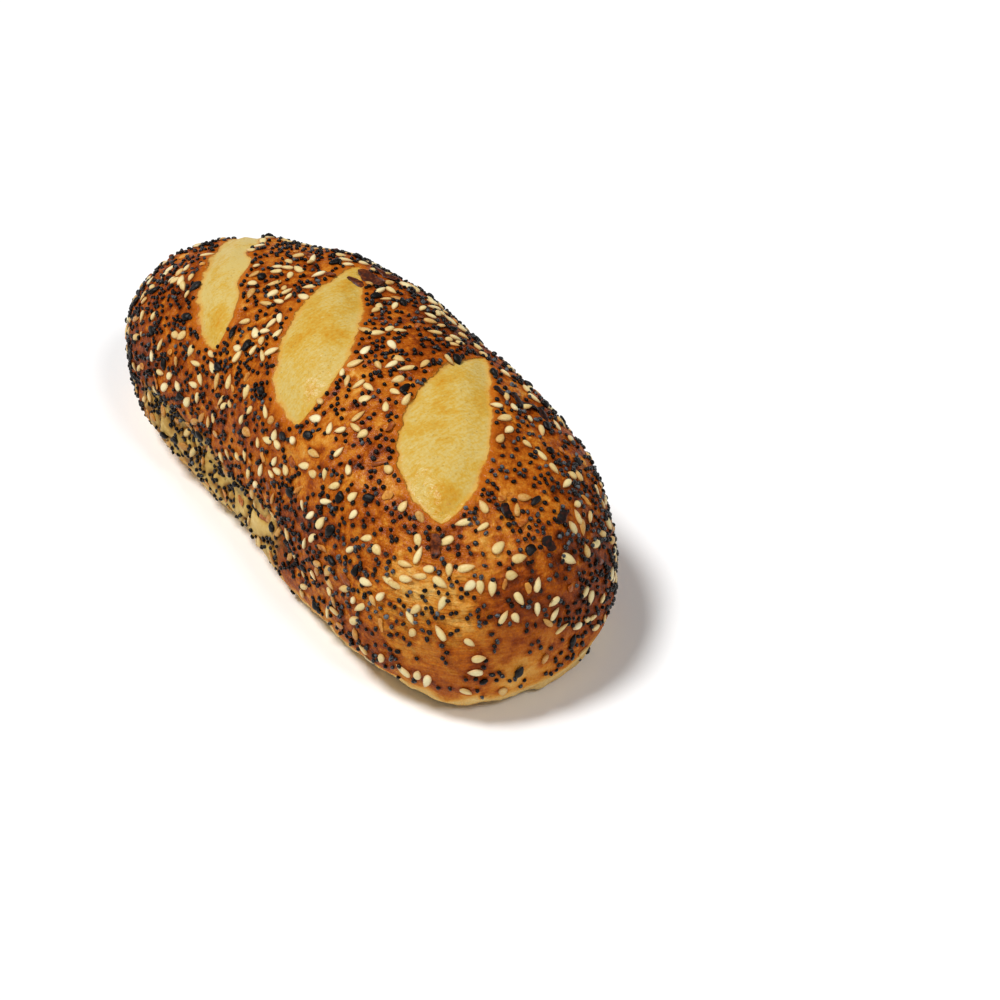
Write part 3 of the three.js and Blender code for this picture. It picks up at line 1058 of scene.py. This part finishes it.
def sesame(skin):
    clump = np.clip(1 + lumps(skin.centres, *SESAME_CLUMPS), *SESAME_CLUMP_RANGE)
    density = banded_density(skin, SESAME_BANDS) * clump * heel_share(skin)
    density = density * (1 - SESAME_RAW_LOSS * skin.by_quad(skin.raw))
    finish = seed_material("sesame", SESAME_STOPS, 0.36, grain=0.5, gloss=0.3, mottling=0.6, tip=SESAME_TIP)
    form = pip_form(9, 12, 0.74, 0.48, point=0.3)

    # Painted shade: darker tints for seeds low on the flank, except on the near end.
    def low_seed_painted_shade(x, y, z):
        return -LOW_SEEDS_SHADE * smooth_step((LOW_SEEDS - z) / LOW_SEEDS_RUN) * (x < NEAR_END)

    return lay_seeds(skin, "sesame_seeds", SESAME, density, (), form, finish, low_seed_painted_shade)


def poppy(skin, taken):
    clump = np.exp(lumps(skin.centres, *POPPY_CLUMPS))
    creased = POPPY_CREASE_GAIN * skin.by_quad(skin.creases) - POPPY_RAW_LOSS
    density = banded_density(skin, POPPY_BANDS) * clump / POPPY_CLUMP_MEAN
    density = density * (1 + skin.by_quad(skin.raw) * creased) * heel_share(skin)
    finish = seed_material("poppy", POPPY_STOPS, 0.28, grain=0.32, gloss=0.15, mottling=1.6)
    form = pip_form(5, 6, 1.0, 0.5, bend=0.08)

    # Painted highlight: lighter tints for poppies on the near end.
    def near_end_painted_highlight(x, y, z):
        return POPPY_PAINTED_HIGHLIGHT * (x > POPPY_PAINTED_HIGHLIGHT_FROM)

    return lay_seeds(skin, "poppy_seeds", POPPY, density, taken, form, finish, near_end_painted_highlight, tilt=POPPY_TILT)


def fresh_noise(points, size, rng):
    """Noise with a seed of its own."""
    return noise(points, size, int(rng.integers(LARGEST_SEED)))


def knobbly(local, rng):
    """Uneven outlines for seeds that are burnt or broken."""
    for pip in local:
        pip *= 1 + KNOB_SHARE * fresh_noise(pip, KNOB_SIZE, rng)[:, None]
    return local


def loose_density(skin, density, lowest, near_end_loss):
    x, _, z = skin.centres.T
    return density * open_crust(skin) * (z > lowest) * (1 - near_end_loss * (x > NEAR_END))


def black_seeds(skin, taken):
    density = loose_density(skin, *BLACK_SHARES)
    finish = seed_material("black_seed", BLACK_STOPS, 0.4, grain=0.4, gloss=0.22, mottling=1.2)
    form = pip_form(11, 14, 0.85, 0.55)
    return lay_seeds(skin, "black_seeds", BLACK, density, taken, form, finish, warp=knobbly)


# Flakes given one by one: x, y, z, length, breadth, turn in degrees, and tint from charred to tan.
SET_FLAKES = (
    (60.3, -19.4, 38.2, 4.9, 2.2, 100, 0.36),
    (61.7, -3.9, 41.6, 3.6, 2.1, 50, 0.04),
    (66.9, 6.0, 37.9, 3.8, 2.2, 20, 0.04),
    (70.1, 1.0, 35.9, 3.4, 2.2, 110, 0.05),
    (35.0, 13.5, 47.2, 4.6, 2.0, 51, 0.03),
    (36.8, 16.0, 45.5, 4.4, 2.4, 40, 0.05),
    (38.6, 18.3, 43.7, 4.6, 2.2, 60, 0.02),
    (40.4, 19.9, 42.2, 3.8, 2.0, 48, 0.06),
    (-14.4, 9.0, 49.1, 6.4, 2.0, 104, 0.30),
    (-14.9, 12.8, 48.6, 7.6, 3.3, 98, 0.30),
    (-16.8, 17.4, 46.9, 6.4, 2.4, 110, 0.26),
)
FLAKE_THICKNESS = 0.55
FLAKE_SUNK = 0.1
# The other flakes: density, lowest place, loss on the near end, distance, and ranges.
FLAKE_SHARES = (0.0055, 8.0, 0.65)
FLAKE_DISTANCE = 3.5
FLAKE_LENGTHS = (1.1, 3.6)
FLAKE_BREADTHS = (0.7, 1.9)
FLAKE_TINTS = (0.36, 0.96)
# How ragged they are across and along, as axis, lump size and share, and their curl and waves.
FLAKE_RAGGED = ((1, 1.3, 0.5), (0, 2.1, 0.25))
FLAKE_CURL = 0.09
FLAKE_CURLS = (-0.3, 1.0)
FLAKE_WAVE_SIZE = 1.9
FLAKE_WAVE_HEIGHT = 0.35


def curl(local, rng):
    """Ragged outlines and a curl of their own for flat flakes."""
    for flake in local:
        for axis, size, share in FLAKE_RAGGED:
            flake[:, axis] *= 1 + share * fresh_noise(flake, size, rng)
        lift = rng.uniform(*FLAKE_CURLS) * FLAKE_CURL
        waves = FLAKE_WAVE_HEIGHT * fresh_noise(flake, FLAKE_WAVE_SIZE, rng)
        flake[:, 2] += lift * flake[:, 0] ** 2 + waves
    return local


def flakes(skin, taken):
    loose = scatter(skin, loose_density(skin, *FLAKE_SHARES), FLAKE_DISTANCE, 131, taken)
    count = len(loose[0])
    rng = np.random.default_rng(132)
    table = np.array(SET_FLAKES)
    laid = skin.nearest(table[:, :3])
    places = [np.concatenate(pair) for pair in zip(laid, loose)]
    lengths = np.concatenate([table[:, 3], rng.uniform(*FLAKE_LENGTHS, count)])
    breadths = np.concatenate([table[:, 4], rng.uniform(*FLAKE_BREADTHS, count)])
    sizes = np.column_stack([lengths, breadths, np.full(len(lengths), FLAKE_THICKNESS)])
    yaw = np.concatenate([np.radians(table[:, 5]), rng.uniform(0, 2 * np.pi, count)])
    tint = np.concatenate([table[:, 6], rng.uniform(*FLAKE_TINTS, count)])
    finish = seed_material("onion_flake", FLAKE_STOPS, 0.38, grain=0.8, gloss=0.25, mottling=0.9)
    form = pip_form(13, 18, 1.0, 0.24)
    place_copies("onion_flakes", form, places, sizes, FLAKE_SUNK, tint, finish, seed=133, yaw=yaw, warp=curl)
    return places[0]


# How far the middles of a kind stay from those of sesame, black seeds and flakes laid before it.
BLACK_CLEAR = (2.2,)
FLAKE_CLEAR = (2.2, 3.0)
POPPY_CLEAR = (1.25, 1.3, 1.5)
# How far the crust is browner round the middles of sesame, black seeds and poppy, and how strongly: partly
# thicker glaze, partly painted contact shade.
SEED_GLAZE_AND_SHADE_REACHES = (1.9, 1.8, 1.0)
SEED_GLAZE_AND_SHADE_LEVEL = 1.4


def seed_glaze_and_shade(skin, groups):
    """How close each point of the skin is to a seed: 1 at its middle, 0 past its reach. The crust is browner
    there: partly glaze, partly painted contact shade.
    """
    found = np.zeros(len(skin.points))
    for places, reach in groups:
        distance = nearest_distance(places, skin.points)
        found = np.maximum(found, smooth_step(SEED_GLAZE_AND_SHADE_LEVEL - distance / reach))
    return found


def make_body(skin, seeds):
    values = {
        "slash": skin.inside,
        "toast": skin.toast,
        "raw": skin.raw,
        "creases": skin.creases,
        "under": skin.under,
        "wrinkles": blob(skin.points, *WRINKLE_SPOT),
        "calm": calm_share(skin.points),
        # Browner crust round seeds: partly glaze, partly painted contact shade.
        "beside": seed_glaze_and_shade(skin, seeds),
    }
    body = make_piece("roll_body", skin.points, [skin.quads], skin.corner_uv, values, crust_material())
    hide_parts(NODE)


# --- Camera, floor and light ---

VIEW_AZIMUTH = -30.0
VIEW_ELEVATION = 37.0
VIEW_ROLL = -3.0
VIEW_DISTANCE = 550.0
IMAGE_SIDE = 1000
FOCAL_PIXELS = 2475.0
SENSOR_WIDTH = 36.0
ROLL_PIXEL = (362.9, 416.0)
# The camera's near limit and the floor's sizes are in metres.
CLIP_START = 0.01
FLOOR_SIDE = 8.0
FLOOR_LEVEL = -0.0002
FLOOR_COLOUR = (250, 250, 250)
FLOOR_ROUGHNESS = 0.9


def make_camera(middle):
    """The photograph's view, with the roll's middle on its pixel."""
    azimuth, elevation = math.radians(VIEW_AZIMUTH), math.radians(VIEW_ELEVATION)
    flat = math.cos(elevation)
    toward = Vector((flat * math.cos(azimuth), flat * math.sin(azimuth), math.sin(elevation)))
    right = (-toward).cross(Vector((0, 0, 1))).normalized()
    up = right.cross(-toward)
    facing = Matrix((right, up, toward)).transposed()
    roll = Matrix.Rotation(math.radians(VIEW_ROLL), 3, "Z")
    aside = (ROLL_PIXEL[0] - IMAGE_SIDE / 2) / FOCAL_PIXELS
    above = (IMAGE_SIDE / 2 - ROLL_PIXEL[1]) / FOCAL_PIXELS
    swing = Vector((0, 0, -1)).rotation_difference(Vector((aside, above, -1))).to_matrix()
    data = bpy.data.cameras.new("camera")
    data.sensor_width = SENSOR_WIDTH
    data.lens = FOCAL_PIXELS * SENSOR_WIDTH / IMAGE_SIDE
    data.clip_start = CLIP_START
    camera = linked("camera", data)
    place = facing @ roll @ swing.transposed()
    camera.matrix_world = Matrix.Translation(middle + toward * VIEW_DISTANCE * MM) @ place.to_4x4()
    bpy.context.scene.camera = camera


def make_floor():
    side = FLOOR_SIDE / 2
    corners = ((-side, -side), (side, -side), (side, side), (-side, side))
    mesh = bpy.data.meshes.new("floor")
    mesh.from_pydata([(x, y, FLOOR_LEVEL) for x, y in corners], [], [(0, 1, 2, 3)])
    g = Graph("floor")
    mesh.materials.append(g.finish(Base_Color=srgb(*FLOOR_COLOUR), Roughness=FLOOR_ROUGHNESS))
    floor = linked("floor", mesh)


# Far lights: heading from the roll, breadth in degrees, and strength.
LIGHTS = (
    ("key", (-0.20, -0.34, 0.92), 16.0, 2.65),
    ("front", (0.60, 0.06, 0.80), 12.0, 0.75),
)
SKY_STRENGTH = 0.17


def make_lights():
    for name, heading, breadth, strength in LIGHTS:
        data = bpy.data.lights.new(name, "SUN")
        data.angle = math.radians(breadth)
        data.energy = strength
        light = linked(name, data)
        light.rotation_euler = Vector(heading).to_track_quat("Z", "Y").to_euler()
    world = bpy.data.worlds.new("world")
    world.use_nodes = True
    sky = world.node_tree.nodes["Background"]
    sky.inputs["Color"].default_value = (1, 1, 1, 1)
    sky.inputs["Strength"].default_value = SKY_STRENGTH
    bpy.context.scene.world = world
    bpy.context.scene.view_settings.view_transform = "Standard"


# --- The whole ---

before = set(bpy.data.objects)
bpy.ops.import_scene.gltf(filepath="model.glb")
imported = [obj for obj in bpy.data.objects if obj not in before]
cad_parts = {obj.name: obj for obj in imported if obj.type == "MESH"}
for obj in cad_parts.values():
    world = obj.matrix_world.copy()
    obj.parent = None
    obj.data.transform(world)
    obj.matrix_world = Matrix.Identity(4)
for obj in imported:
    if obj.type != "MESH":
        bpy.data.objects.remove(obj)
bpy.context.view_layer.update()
middle = Vector((0, 0, ROLL_HEIGHT * MM / 2))
make_camera(middle)
make_floor()
make_lights()

skin = Skin()
sesame_points = sesame(skin)
black_points = black_seeds(skin, zip([sesame_points], BLACK_CLEAR))
flake_points = flakes(skin, zip([sesame_points, black_points], FLAKE_CLEAR))
poppy_points = poppy(skin, zip([sesame_points, black_points, flake_points], POPPY_CLEAR))
make_body(skin, zip([sesame_points, black_points, poppy_points], SEED_GLAZE_AND_SHADE_REACHES))
